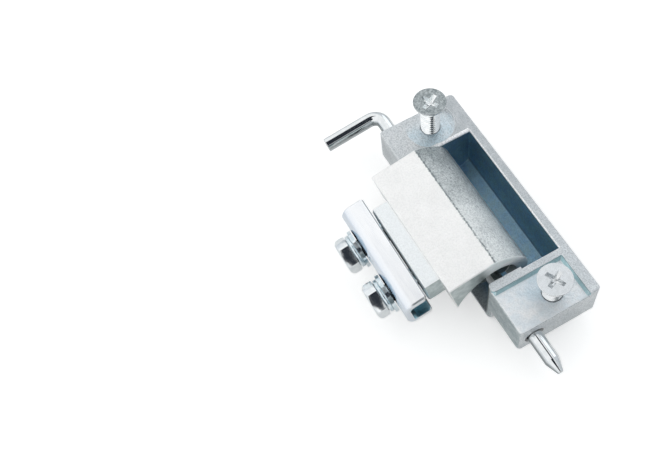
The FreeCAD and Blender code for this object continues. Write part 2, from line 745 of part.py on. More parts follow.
for number, place in (("1", "bolt_one"), ("2", "bolt_two")):
    ring_washer(f"flat_washer_{number}", place, "washer_radius", "washer_thick", "flat_face")
    ring_washer(f"spring_washer_{number}", place, "spring_radius", "spring_thick",
                "spring_face", slit=True)
    hex_bolt(f"bolt_{number}", place)

doc.recompute()

# Every object has to be sound before anything is written
for thing in doc.Objects:
    if "Invalid" in thing.State or "Error" in thing.State:
        raise RuntimeError(f"{thing.Label} failed: {thing.State}")
pieces = [thing for thing in doc.Objects if thing.TypeId == "PartDesign::Body"]
for piece in pieces:
    if piece.Shape.isNull() or not piece.Shape.isValid():
        raise RuntimeError(f"{piece.Label} has no sound shape")
    if len(piece.Shape.Solids) != 1:
        raise RuntimeError(f"{piece.Label} is {len(piece.Shape.Solids)} solids")

os.makedirs("parts", exist_ok=True)
for piece in pieces:
    piece.Shape.exportStep(f"parts/{piece.Label}.step")
    box = piece.Shape.BoundBox
    print(f"{piece.Label}: {piece.Shape.Volume:.1f} mm3, "
          f"x {box.XMin:.1f} to {box.XMax:.1f}, y {box.YMin:.1f} to {box.YMax:.1f}, "
          f"z {box.ZMin:.1f} to {box.ZMax:.1f}")
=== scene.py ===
"""Looks of the concealed lift-off hinge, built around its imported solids.

The castings, the pin, the channel and the flat washers are the solids themselves. The screws,
the bolts and the spring washers are replaced by finer pieces with real threads. Shapes are in
metres. The stains' limits, and names that end in _mm, are in millimetres.
"""

import json
import math

import bmesh
import bpy
from mathutils import Matrix, Vector


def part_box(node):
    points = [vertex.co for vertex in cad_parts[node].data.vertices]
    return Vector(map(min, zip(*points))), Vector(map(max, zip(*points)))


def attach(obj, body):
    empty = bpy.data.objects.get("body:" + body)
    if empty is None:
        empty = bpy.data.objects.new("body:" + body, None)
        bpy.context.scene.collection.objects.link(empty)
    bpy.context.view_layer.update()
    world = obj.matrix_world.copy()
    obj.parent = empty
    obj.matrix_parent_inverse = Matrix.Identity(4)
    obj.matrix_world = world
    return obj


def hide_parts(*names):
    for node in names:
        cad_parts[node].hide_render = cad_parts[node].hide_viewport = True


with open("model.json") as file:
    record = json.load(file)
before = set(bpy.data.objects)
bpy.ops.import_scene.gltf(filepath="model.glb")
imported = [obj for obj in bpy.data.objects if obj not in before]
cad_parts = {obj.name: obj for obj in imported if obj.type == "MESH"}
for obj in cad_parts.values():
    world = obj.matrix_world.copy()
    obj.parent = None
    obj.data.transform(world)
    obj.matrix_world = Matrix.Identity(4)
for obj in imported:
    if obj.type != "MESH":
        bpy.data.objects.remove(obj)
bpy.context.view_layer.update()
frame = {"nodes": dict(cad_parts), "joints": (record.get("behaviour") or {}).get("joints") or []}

MM = 0.001
TO_MM = (1 / MM, 1 / MM, 1 / MM)

# Points closer than this are one point
WELD = 1e-7

# Where the arm stands at rest: it is drawn level and droops about the pin axis
ARM_DROOP = math.radians(10.5)
PIN_AXIS = Vector(next(j["pos_m"] for j in frame["joints"] if j["name"] == "arm_swing"))

# M6 thread. Its flats are a share of half a pitch. Its upper end fades over a share of the
# lower end's length, and keeps a share of the depth.
THREAD_RADIUS = 3.0 * MM
THREAD_PITCH = 1.0 * MM
THREAD_DEPTH = 0.52 * MM
THREAD_FLAT = 0.12
THREAD_ROWS = 8
THREAD_TOP_FADE = 0.6
THREAD_TOP_DEPTH = 0.15
ROD_END_RADIUS = THREAD_RADIUS - 0.9 * MM
ROD_END_CHAMFER = 0.25 * MM

# Countersunk screws. A pair of measures is how far a rounding goes out and up.
SCREW_SIDES = 48
SCREW_SMOOTH = 32
SCREW_LENGTH = 16.0 * MM
SCREW_ROD_RADIUS = THREAD_RADIUS - 0.02 * MM
SCREW_THREAD_FADE = 1.0 * MM
SCREW_THREAD_GAP = 0.4 * MM
SCREW_NECK = 0.3 * MM
SCREW_FILLET = (0.25 * MM, 0.12 * MM)
SCREW_HEAD_RADIUS = 5.0 * MM
SCREW_HEAD_EDGE = 0.45 * MM
SCREW_HEAD_FACE = SCREW_HEAD_RADIUS * 0.72
SCREW_EDGE_LOW = (0.06 * MM, 0.07 * MM)
SCREW_EDGE_HIGH = (0.14 * MM, 0.12 * MM)

# Cross recess. Each level is a height, a share of the span and a share of the slot's width. No
# level lies in the head's face itself, where a cut leaves slivers.
CROSS_SPAN = 5.9 * MM
CROSS_SLOT = 1.3 * MM
CROSS_CORNER = 1.25
CROSS_DEEP = 1.6 * MM
CROSS_TURN = math.radians(25.0)
CROSS_LEVELS = (
    (0.4 * MM, 1.09, 1.07),
    (-0.55 * CROSS_DEEP, 0.8, 0.85),
    (-0.9 * CROSS_DEEP, 0.52, 0.66),
    (-1.15 * CROSS_DEEP, 0.1, 0.1),
)

# Hexagon bolts. Each ring of the dish on the head is a share of the head's circle and a depth.
# The flats bulge in the middle, and fall back by a share of that at the head's foot and top.
BOLT_SIDES = 96
BOLT_SMOOTH = 24
BOLT_LENGTH = 16.0 * MM
BOLT_THREAD_FADE = 0.8 * MM
BOLT_THREAD_GAP = 0.25 * MM
BOLT_FLATS = 10.0 * MM
BOLT_HEAD = 3.7 * MM
HEAD_CIRCLE = 4.5 * MM
HEAD_CHAMFER = 0.75
HEAD_FOOT = (0.08 * MM, 0.1 * MM)
HEAD_DISH = ((1.0, 0.0), (0.93, 0.0), (0.86, 0.18 * MM), (0.3, 0.22 * MM))
FLATS_ROWS = 8
FLATS_START = 0.2 * MM
FLATS_BULGE = 0.18 * MM
FLATS_BARREL = 0.6

# Spring washers
SPRING_SIDES = 64
SPRING_SMOOTH = 50
SPRING_RADIUS = 5.2 * MM
SPRING_HOLE = 3.2 * MM
SPRING_THICK = 1.3 * MM
SPRING_BEVEL = 0.16 * MM
SPRING_LIFT = 0.14 * MM
SPRING_SLIT = math.radians(9.0)

# The clamp on the level arm, out from the pin axis: foot, slot for the sheet, channel, gap,
# flat washer and spring washer
CLAMP_STACK_MM = (19.05, 0.45, 7.8, 0.3, 1.1, 1.3)
CLAMP_UP = 6.4 * MM
HEAD_OUT = sum(CLAMP_STACK_MM) * MM
SPRING_OUT = HEAD_OUT - SPRING_THICK

# The photograph's camera, fitted to the hinge in it
CAMERA_PLACE = Vector((0.105710, -0.089156, 0.222684))
CAMERA_RIGHT = Vector((0.492475, 0.868280, -0.059649))
CAMERA_UP = Vector((-0.755319, 0.460442, 0.466354))
CAMERA_BACK = Vector((0.432391, -0.184614, 0.882585))
CAMERA_LENS_MM = 48.40
CAMERA_SENSOR_MM = 36.0
CAMERA_SHIFT = (-0.0824, 0.0306)
CAMERA_NEAR = 0.01

# Table
TABLE_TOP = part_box("housing")[0].z
TABLE_HALF = 3.0
TABLE_COLOUR = (0.80, 0.80, 0.79)
TABLE_GLOW = 0.47
TABLE_MIRRORED = 0.18
SHADE_REACH = 12.0 * MM
SHADE_SPAN = (0.05, 0.55)
SHADE_SAMPLES = 12

# Studio. Its places are values of a direction's x, y or z, each with how soft the change is.
WHITE = (1.0, 1.0, 1.0)
TENT_LOW = (0.26, 0.31, 0.34)
TENT_LOW_NEAR = (0.74, 0.79, 0.86)
TENT_HIGH = (1.08, 1.085, 1.09)
TENT_FAR = (0.62, 0.65, 0.68)
TENT_NEAR_Y = (0.0, 0.25)
TENT_FAR_Y = (0.27, 0.14)
TENT_HIGH_Z = (0.10, 0.14)
OPENING_TOWARDS = Vector((0.53, -0.16, 0.83)).normalized()
OPENING_COSINE = (0.962, 0.008)
OPENING_COLOUR = (0.025, 0.03, 0.04)
BOOM_X = (-0.31, 0.60, 0.03)
BOOM_Y = (-0.21, 0.05, 0.02)
BOOM_Z = (0.4, 0.05)
ROOM_X = (0.58, 0.08)
ROOM_Y = (-0.16, 0.24, 0.06)
ROOM_Z = (0.66, 0.08)
ROOM_COLOUR = (0.11, 0.14, 0.15)
KEY_PLACE = Vector((-0.40, 0.60, 0.62))
KEY_SIZE = 0.70
KEY_WATTS = 0.9

# Sockets of the Mix node that take colours and give one
MIX_INPUTS = (6, 7)
MIX_RESULT = 2

# Noise patterns: scale per metre, detail and roughness
CAST_GRAIN = (2300.0, 2.0, 0.75)
CAST_LUMPS = (900.0, 3.0, 0.65)
CAST_CLOUDS = (150.0, 4.0, 0.55)
CAST_PATCHES = (320.0, 4.0, 0.6)
CAST_PITS = (1900.0, 3.0, 0.75)
SLOPE_CLOUDS = (190.0, 3.0, 0.6)
CREASE_CRUMBS = (1500.0, 3.0, 0.7)
STEEL_WAVES = (260.0, 2.0, 0.5)
STEEL_STAINS = (520.0, 4.0, 0.65)
STEEL_MOTTLE = (1500.0, 3.0, 0.7)
STEEL_SCRATCHES = (4200.0, 2.0, 0.6)

# The part of a noise's values that is spread over a whole change, as the rest is rare
WIDE_SPAN = (0.3, 0.7)
CLOUD_SPAN = (0.36, 0.64)
PATCH_SPAN = (0.38, 0.62)
SPECK_SPAN = (0.38, 0.56)
PIT_SPAN = (0.34, 0.59)
WORN_HIGHLIGHT_SPAN = (0.35, 0.6)

# Bumps: strength and height in millimetres
LUMP_BUMP = (0.8, 0.20)
GRAIN_BUMP = (0.8, 0.14)
PIT_BUMP = (1.0, 0.26)
SCRATCH_BUMP = (0.12, 0.02)
WAVE_HEIGHT_MM = 0.2

# Cast zinc. A gain makes edges paler, partly as wear and partly as painted edge highlight, and a
# share is how much of a thing is shown.
CAST_METAL = 0.92
CAST_EDGE_MM = 0.30
CAST_ROUGHNESS_SWING = 0.07
CAST_WORN_HIGHLIGHT_GAIN = 1.35
CAST_WORN_HIGHLIGHT_LEAST = 0.45
SPECK = (0.20, 0.23, 0.25)
PIT_SHARE = 0.82
CLEAN_SHARE = 0.35
FAINT_EDGE_SHARE = 0.25

# Plated steel
STEEL_ROUGHER = 0.05
STEEL_SMOOTHER = 0.04
STEEL_WORN_HIGHLIGHT_GAIN = 1.15
STEEL_WORN_HIGHLIGHT_SHARE = 0.5

# A place counts as an edge where its rounded normal leaves the face's own: cosines of the angle
# between them, from a full edge to none
EDGE_SAMPLES = 6
EDGE_SPAN = (0.90, 0.995)

# Boxes of the stains, the painted shade and the painted highlights, in millimetres: limits of x,
# of y and of z, and how soft the sides are. A limit lies a few hundredths beyond the face that it
# covers, and None leaves a side open.
ANY = (None, None)
POCKET_BOX = ((-24.1, 22.95), (None, -1.06), (-18.15, -0.32), 0.03)
FAR_WALL_BOX = ((-24.0, 22.9), (-1.5, -1.06), (-14.0, -0.32), 0.03)
FAR_EDGE_BOX = ((-24.5, 23.0), (-1.12, -0.72), (-0.31, None), 0.03)
HANDLE_EDGE_BOX = ((-25.2, -23.6), (-20.0, -0.9), (-0.31, None), 0.06)
END_WALL_BOX = ((21.0, 23.4), (-24.7, None), (-17.0, -0.4), 0.15)
ARM_SIDE_BOX = ((22.0, None), (None, -24.2), (None, -1.7), 0.15)
LOWER_LAND_BOX = ((24.25, None), (None, -1.65), (-1.5, -0.25), 0.05)
LOWER_WALLS_BOX = ((24.25, None), (None, -1.65), (-1.35, -0.1), 0.05)
LOWER_FLOOR_BOX = ((25.9, None), (None, -2.55), (-1.5, 0.0), 0.1)
RIM_BOX = (ANY, ANY, (-0.25, None), 0.05)
UPPER_LAND_BOX = ((None, -25.4), (None, -10.0), (-1.5, -1.3), 0.08)
SPOT_FACE_BOX = ((None, -20.0), ANY, (-1.5, -0.2), 0.05)
SPOT_WALL_BOX = ((None, -20.0), (-14.0, None), (-1.36, -0.05), 0.05)
UPPER_HEAD_BOX = (ANY, ANY, (11.02, None), 0.03)

# The channel's hollow, on the level arm: along, out and up
CHANNEL_BOX = (ANY, (19.0, 25.35), (2.35, 10.45), 0.04)

# Round places, in millimetres: centre, radius and how soft the change is
BORE_CIRCLE = ((-19.5, -7.1), 3.14, 0.02)
LOWER_SCREW_CIRCLE = ((29.5, -13.2), 4.6, 2.6)
SPOT_CENTRE = (-32.6, -9.9)
SPOT_CIRCLE = (SPOT_CENTRE, 7.62, 0.1)
SPOT_WALL_INNER = (7.53, 0.02)
SPOT_WALL_OUTER = (7.7, 0.03)
EYE_CIRCLE = ((0.0, 0.0), 7.06, 0.03)

# Lines across the housing, in millimetres: place and how soft the change is
POCKET_OPEN_Y = (-20.0, 3.0)
END_WALL_Y = (-14.0, 3.0)
BORE_END_X = (37.2, 0.1)
RIM_DULL_X = (14.0, 20.0)
SPOT_SHOWN_X = (-34.5, 3.0)

# Lines across the level arm and the channel, out of the pin axis and up from it
SLOPE_OUT = (-1.1, 0.15)
SLOPE_UP = (4.0, 0.5)
CLAW_OUT = (2.0, 2.0)
FOOT_OUT = (14.0, 0.2)
FOOT_FACE_OUT = (18.98, 0.03)
CHANNEL_EDGE_OUT = (19.8, 0.05)
CHANNEL_WEB_OUT = (25.2, 1.4)

# How far a face looks along the pin
SLOPE_FACING = (0.5, 0.1)
CLAW_FACING = (0.3, 0.1)
END_FACING = (0.85, 0.1)
END_SHARE = 0.8

# The slope's tone and grain, as they change along the arm
SLOPE_RUN = (-26.0, 4.0)
SLOPE_RUN_SWING = (-0.25, 0.25)
SLOPE_DARK = (0.51, 0.555, 0.56)
SLOPE_PALE = (0.97, 1.0, 0.99)
SLOPE_COARSE_RUN = (0.0, 1.2)
SLOPE_COARSE = (1.2, 0.40)

# The arm's crease: its place, its ragged half width, its soft side and how strong it is
CREASE_PLACE = (-1.35, 12.2)
CREASE_HALF = (-0.02, 0.46)
CREASE_SIDE = (0.0, 0.14)
CREASE_SHARE = 0.85

EYE_SHARE = 0.92

# The pin's painted shade lies where its face's normal is below these in z and in y
UNDERSIDE_Z = (0.42, 0.16)
UNDERSIDE_Y = (0.0, 0.2)


def new_object(name, data):
    """Links a mesh, a lamp or a camera to the scene as a named object."""
    obj = bpy.data.objects.new(name, data)
    bpy.context.scene.collection.objects.link(obj)
    return obj


def mesh_of(name, verts, faces):
    """A mesh from plain lists, with its normals pointing out."""
    mesh = bpy.data.meshes.new(name)
    mesh.from_pydata(verts, [], faces)
    work = bmesh.new()
    work.from_mesh(mesh)
    bmesh.ops.remove_doubles(work, verts=work.verts, dist=WELD)
    bmesh.ops.recalc_face_normals(work, faces=work.faces)
    work.to_mesh(mesh)
    work.free()
    return mesh


def smooth_by_angle(obj, degrees):
    """Smooth shading that keeps the edges sharper than an angle."""
    mesh = obj.data
    mesh.polygons.foreach_set("use_smooth", [True] * len(mesh.polygons))
    work = bmesh.new()
    work.from_mesh(mesh)
    limit = math.radians(degrees)
    for edge in work.edges:
        edge.smooth = len(edge.link_faces) == 2 and edge.calc_face_angle(0.0) < limit
    work.to_mesh(mesh)
    work.free()


def ring_stack(name, rings):
    """A closed skin over a list of rings; each ring is a list of points of equal number."""
    count = len(rings[0])
    verts = [point for ring in rings for point in ring]
    faces = []
    for level in range(len(rings) - 1):
        low = level * count
        high = low + count
        for step in range(count):
            after = (step + 1) % count
            faces.append((low + step, low + after, high + after, high + step))
    last = (len(rings) - 1) * count
    bottom = len(verts)
    top = bottom + 1
    for ring in (rings[0], rings[-1]):
        verts.append(sum((Vector(point) for point in ring), Vector()) / count)
    faces += [(bottom, (step + 1) % count, step) for step in range(count)]
    faces += [(top, last + step, last + (step + 1) % count) for step in range(count)]
    return mesh_of(name, verts, faces)


def circle(radius, height, count):
    """Points of a level circle."""
    return [(radius * math.cos(2 * math.pi * step / count),
             radius * math.sin(2 * math.pi * step / count), height) for step in range(count)]


def thread_rings(low, high, count, fade):
    """Rings of a threaded rod: the ridge climbs one pitch in each turn and fades at both ends."""
    rows = int(round((high - low) / THREAD_PITCH * THREAD_ROWS))
    rings = []
    for row in range(rows + 1):
        height = low + (high - low) * row / rows
        # The ridge grows out of the root at the low end, and the groove fills up at the high end
        ridge = min(1.0, (height - low) / fade)
        groove = max(THREAD_TOP_DEPTH, min(1.0, (high - height) / (THREAD_TOP_FADE * fade)))
        ring = []
        for step in range(count):
            turn = step / count
            phase = (height / THREAD_PITCH - turn) % 1.0
            # 0 at the crest and 1 at the root
            slope = (abs(phase - 0.5) * 2 - THREAD_FLAT) / (1 - 2 * THREAD_FLAT)
            slope = min(1.0, max(0.0, slope))
            radius = THREAD_RADIUS - THREAD_DEPTH * (1 - ridge * (1 - slope)) * groove
            angle = 2 * math.pi * turn
            ring.append((radius * math.cos(angle), radius * math.sin(angle), height))
        rings.append(ring)
    return rings


def apply_difference(target, cutter):
    """Cuts one mesh out of another and drops the cutter."""
    modifier = target.modifiers.new("cut", "BOOLEAN")
    modifier.operation = "DIFFERENCE"
    modifier.solver = "EXACT"
    modifier.object = cutter
    bpy.context.view_layer.update()
    graph = bpy.context.evaluated_depsgraph_get()
    mesh = bpy.data.meshes.new_from_object(target.evaluated_get(graph))
    target.modifiers.clear()
    target.data = mesh
    bpy.data.objects.remove(cutter)


def cross_cutter():
    """The tapered cross of a screwdriver recess, from above the face at z = 0 down into it."""
    rings = []
    for height, span, width in CROSS_LEVELS:
        half = CROSS_SPAN / 2 * span
        slot = CROSS_SLOT / 2 * width
        inner = CROSS_SLOT / 2 * CROSS_CORNER * width
        outline = (
            (half, -slot), (half, slot), (inner, inner), (slot, half), (-slot, half),
            (-inner, inner), (-half, slot), (-half, -slot), (-inner, -inner), (-slot, -half),
            (slot, -half), (inner, -inner),
        )
        rings.append([(x, y, height) for x, y in outline])
    cutter = new_object("cross_cutter", ring_stack("cross_cutter", rings))
    # Turned before the cut, so that no corner lies on an edge of the head's face
    cutter.data.transform(Matrix.Rotation(CROSS_TURN, 4, "Z"))
    return cutter


def make_screw(name, place):
    """A countersunk cross-recess machine screw whose head's top is at the place."""
    neck = -(SCREW_HEAD_EDGE + SCREW_HEAD_RADIUS - THREAD_RADIUS)
    profile = (
        (SCREW_ROD_RADIUS, neck - SCREW_NECK),
        (SCREW_ROD_RADIUS, neck),
        (SCREW_ROD_RADIUS + SCREW_FILLET[0], neck + SCREW_FILLET[1]),
        (SCREW_HEAD_RADIUS - SCREW_EDGE_LOW[0], -SCREW_HEAD_EDGE),
        (SCREW_HEAD_RADIUS, -SCREW_HEAD_EDGE + SCREW_EDGE_LOW[1]),
        (SCREW_HEAD_RADIUS, -SCREW_EDGE_HIGH[1]),
        (SCREW_HEAD_RADIUS - SCREW_EDGE_HIGH[0], 0.0),
        (SCREW_HEAD_FACE, 0.0),
    )
    rings = [circle(ROD_END_RADIUS, -SCREW_LENGTH, SCREW_SIDES)]
    rings += thread_rings(-SCREW_LENGTH + ROD_END_CHAMFER, neck - SCREW_THREAD_GAP, SCREW_SIDES,
                          SCREW_THREAD_FADE)
    rings += [circle(radius, height, SCREW_SIDES) for radius, height in profile]
    obj = new_object(name, ring_stack(name, rings))
    apply_difference(obj, cross_cutter())
    obj.data.transform(Matrix.Translation(place))
    smooth_by_angle(obj, SCREW_SMOOTH)
    return obj


def hexagon_line(share):
    """One line round a bolt's head, from 0 at its washer face to 1 at its chamfer.

    The flats bulge a little, and the chamfer's cone makes the last line dip at the corners.
    """
    apothem = BOLT_FLATS / 2
    half_angle = math.pi / 6
    half_flat = apothem * math.tan(half_angle)
    barrel = FLATS_BULGE * FLATS_BARREL * (2 * share - 1) ** 2
    points = []
    for step in range(BOLT_SIDES):
        angle = 2 * math.pi * step / BOLT_SIDES
        local = (angle + half_angle) % (2 * half_angle) - half_angle
        across = apothem * math.tan(local)
        sag = FLATS_BULGE * (across / half_flat) ** 2 + barrel
        reach = math.hypot(apothem - sag, across)
        top = BOLT_HEAD - (reach - HEAD_CIRCLE) * HEAD_CHAMFER
        points.append((reach * math.cos(angle), reach * math.sin(angle),
                       FLATS_START + (top - FLATS_START) * share))
    return points


def arm_matrix(along, out, up):
    """Puts a piece that is drawn along +Z onto the arm, pointing out of its outer face."""
    droop = Matrix.Rotation(ARM_DROOP, 4, "X")
    place = PIN_AXIS + droop.to_3x3() @ Vector((along, -out, up))
    return Matrix.Translation(place) @ droop @ Matrix.Rotation(math.radians(90), 4, "X")


def make_bolt(name, along, out, up):
    """A hexagon bolt; out is where its head meets the washer."""
    foot_out, foot_up = HEAD_FOOT
    foot = ((THREAD_RADIUS, 0.0), (HEAD_CIRCLE, 0.0), (HEAD_CIRCLE + foot_out, foot_up))
    rings = [circle(ROD_END_RADIUS, -BOLT_LENGTH, BOLT_SIDES)]
    rings += thread_rings(-BOLT_LENGTH + ROD_END_CHAMFER, -BOLT_THREAD_GAP, BOLT_SIDES,
                          BOLT_THREAD_FADE)
    rings += [circle(radius, height, BOLT_SIDES) for radius, height in foot]
    rings += [hexagon_line(row / FLATS_ROWS) for row in range(FLATS_ROWS + 1)]
    rings += [circle(HEAD_CIRCLE * share, BOLT_HEAD - depth, BOLT_SIDES)
              for share, depth in HEAD_DISH]
    obj = new_object(name, ring_stack(name, rings))
    obj.data.transform(arm_matrix(along, out, up))
    smooth_by_angle(obj, BOLT_SMOOTH)
    return obj


def make_spring_washer(name, along, out, up):
    """A split washer with rounded edges, whose two ends stand a little apart."""
    inner, outer, thick, bevel = SPRING_HOLE, SPRING_RADIUS, SPRING_THICK, SPRING_BEVEL
    profile = (
        (inner, bevel), (inner + bevel, 0.0), (outer - bevel, 0.0), (outer, bevel),
        (outer, thick - bevel), (outer - bevel, thick), (inner + bevel, thick),
        (inner, thick - bevel),
    )
    start = -math.pi / 2 + SPRING_SLIT
    sweep = 2 * math.pi - 2 * SPRING_SLIT
    verts = []
    for step in range(SPRING_SIDES + 1):
        share = step / SPRING_SIDES
        angle = start + sweep * share
        # One end lies low and the other high, all inside the washer's thickness
        lift = (share - 0.5) * SPRING_LIFT
        for radius, height in profile:
            squeezed = SPRING_LIFT / 2 + height * (thick - SPRING_LIFT) / thick
            verts.append((radius * math.cos(angle), radius * math.sin(angle), squeezed + lift))
    wide = len(profile)
    faces = []
    for step in range(SPRING_SIDES):
        for side in range(wide):
            after = (side + 1) % wide
            low = step * wide
            faces.append((low + side, low + after, low + wide + after, low + wide + side))
    faces.append(tuple(range(wide)))
    faces.append(tuple(range(SPRING_SIDES * wide, (SPRING_SIDES + 1) * wide))[::-1])
    obj = new_object(name, mesh_of(name, verts, faces))
    obj.data.transform(arm_matrix(along, out, up))
    smooth_by_angle(obj, SPRING_SMOOTH)
    return obj


def nodes_of(name):
    """An empty node tree for a material, with its surface output."""
    material = bpy.data.materials.new(name)
    material.use_nodes = True
    tree = material.node_tree
    tree.nodes.clear()
    output = tree.nodes.new("ShaderNodeOutputMaterial")
    return material, tree, output


def noise(tree, place, pattern):
    """A noise texture in the object's own metres."""
    node = tree.nodes.new("ShaderNodeTexNoise")
    for name, value in zip(("Scale", "Detail", "Roughness"), pattern):
        node.inputs[name].default_value = value
    tree.links.new(place, node.inputs["Vector"])
    return node.outputs["Fac"]


def remap(tree, value, span, result=(0.0, 1.0)):
    """Maps one range of a value onto another, and keeps it inside."""
    node = tree.nodes.new("ShaderNodeMapRange")
    for name, number in zip(("From Min", "From Max", "To Min", "To Max"), (*span, *result)):
        node.inputs[name].default_value = number
    tree.links.new(value, node.inputs["Value"])
    return node.outputs["Result"]


def above(tree, value, at, soft):
    """0 below a value and 1 above it, with a soft change."""
    node = tree.nodes.new("ShaderNodeMapRange")
    node.interpolation_type = "SMOOTHSTEP"
    node.inputs["From Min"].default_value = at - soft
    node.inputs["From Max"].default_value = at + soft
    tree.links.new(value, node.inputs["Value"])
    return node.outputs["Result"]


def below(tree, value, at, soft):
    """1 below a value and 0 above it, with a soft change."""
    return calc(tree, "SUBTRACT", 1.0, above(tree, value, at, soft))


def between(tree, value, low, high, soft):
    """1 between two limits of a value and 0 outside them."""
    return product(tree, above(tree, value, low, soft), below(tree, value, high, soft))


def calc(tree, operation, first, second=0.0):
    """One arithmetic step; each input is a socket or a number."""
    node = tree.nodes.new("ShaderNodeMath")
    node.operation = operation
    for socket, value in zip(node.inputs, (first, second)):
        if isinstance(value, (int, float)):
            socket.default_value = value
        else:
            tree.links.new(value, socket)
    return node.outputs[0]


def product(tree, first, *others):
    """The product of several masks."""
    for other in others:
        first = calc(tree, "MULTIPLY", first, other)
    return first


def vector_step(tree, operation, place, fixed):
    """One step of vector arithmetic with a fixed vector."""
    node = tree.nodes.new("ShaderNodeVectorMath")
    node.operation = operation
    node.inputs[1].default_value = fixed
    tree.links.new(place, node.inputs[0])
    return node.outputs


def mix_colour(tree, factor, first, second, blend="MIX"):
    """Mixes two colours; each is a socket or a plain (r, g, b)."""
    node = tree.nodes.new("ShaderNodeMix")
    node.data_type = "RGBA"
    node.blend_type = blend
    for index, value in zip(MIX_INPUTS, (first, second)):
        if isinstance(value, tuple):
            node.inputs[index].default_value = (*value, 1.0)
        else:
            tree.links.new(value, node.inputs[index])
    tree.links.new(factor, node.inputs[0])
    return node.outputs[MIX_RESULT]


def split(tree, place):
    """The x, y and z of a vector as three sockets."""
    node = tree.nodes.new("ShaderNodeSeparateXYZ")
    tree.links.new(place, node.inputs["Vector"])
    return node.outputs["X"], node.outputs["Y"], node.outputs["Z"]


def in_mm(tree, place):
    """The x, y and z of a position, in millimetres."""
    return split(tree, vector_step(tree, "MULTIPLY", place, TO_MM)["Vector"])


def on_level_arm(tree, place):
    """A position as the level arm has it about the pin axis: along, out and up, in mm."""
    turned = tree.nodes.new("ShaderNodeVectorRotate")
    turned.rotation_type = "X_AXIS"
    turned.inputs["Angle"].default_value = -ARM_DROOP
    tree.links.new(vector_step(tree, "SUBTRACT", place, PIN_AXIS)["Vector"],
                   turned.inputs["Vector"])
    along, inward, up = in_mm(tree, turned.outputs["Vector"])
    return along, calc(tree, "MULTIPLY", inward, -1.0), up


def out_of_arm(tree, place):
    """How far out of the pin axis a position lies on the level arm, in millimetres."""
    return on_level_arm(tree, place)[1]


def true_normal(tree):
    """The x, y and z of a face's own normal."""
    return split(tree, tree.nodes.new("ShaderNodeNewGeometry").outputs["True Normal"])


def facing_along(tree):
    """How far a face looks along the pin, from 0 to 1; the arm's swing doesn't change it."""
    return calc(tree, "ABSOLUTE", true_normal(tree)[0])


def in_box(tree, place, box):
    """1 inside a box and 0 outside it."""
    *limits, soft = box
    masks = []
    for value, (low, high) in zip(place, limits):
        if low is not None:
            masks.append(above(tree, value, low, soft))
        if high is not None:
            masks.append(below(tree, value, high, soft))
    return product(tree, *masks)


def distance_to(tree, first, second, centre):
    """How far two coordinates are from a point of their plane."""
    squares = []
    for value, middle in zip((first, second), centre):
        away = calc(tree, "SUBTRACT", value, middle)
        squares.append(calc(tree, "MULTIPLY", away, away))
    return calc(tree, "SQRT", calc(tree, "ADD", *squares))


def in_circle(tree, first, second, circle_of):
    """1 inside a circle of a plane and 0 outside it."""
    centre, radius, soft = circle_of
    return below(tree, distance_to(tree, first, second, centre), radius, soft)


def rounded_edges(tree, radius_mm):
    """A normal that rounds the edges, and how near an edge each place is."""
    bevel = tree.nodes.new("ShaderNodeBevel")
    bevel.samples = EDGE_SAMPLES
    bevel.inputs["Radius"].default_value = radius_mm * MM
    plain = tree.nodes.new("ShaderNodeNewGeometry")
    dot = tree.nodes.new("ShaderNodeVectorMath")
    dot.operation = "DOT_PRODUCT"
    tree.links.new(bevel.outputs["Normal"], dot.inputs[0])
    tree.links.new(plain.outputs["Normal"], dot.inputs[1])
    return bevel.outputs["Normal"], remap(tree, dot.outputs["Value"], EDGE_SPAN, (1.0, 0.0))


def add_bump(tree, normal, height, strength, distance_mm):
    """Raises a pattern on top of a normal."""
    node = tree.nodes.new("ShaderNodeBump")
    node.inputs["Strength"].default_value = strength
    node.inputs["Distance"].default_value = distance_mm * MM
    tree.links.new(normal, node.inputs["Normal"])
    tree.links.new(height, node.inputs["Height"])
    return node.outputs["Normal"]


def add_stains(tree, where, tone, stains, clouds):
    """Lays stains, painted shade and painted highlights over a tone, in their order.

    Each stain is a function that takes the tree and the position and gives a mask, with the
    colour that the mask brings in. Two colours are mixed by clouds.
    """
    for mask_of, colour, *other in stains:
        if other:
            colour = mix_colour(tree, clouds, colour, other[0])
        tone = mix_colour(tree, mask_of(tree, where), tone, colour)
    return tone


def lessened(tree, amount, zone_of, where, share):
    """An amount of which only a share is left inside a zone."""
    return product(tree, amount, remap(tree, zone_of(tree, where), (0.0, 1.0), (1.0, share)))


def brighter(colour, gain):
    """A colour times a gain, and no brighter than white."""
    return tuple(min(1.0, channel * gain) for channel in colour)


def metal_surface(tree, output, tone, normal, roughness, metallic):
    """Joins a metal's tone, normal and roughness to the surface, and gives its shader."""
    shader = tree.nodes.new("ShaderNodeBsdfPrincipled")
    shader.inputs["Metallic"].default_value = metallic
    for name, value in (("Base Color", tone), ("Normal", normal), ("Roughness", roughness)):
        tree.links.new(value, shader.inputs[name])
    tree.links.new(shader.outputs["BSDF"], output.inputs["Surface"])
    return shader


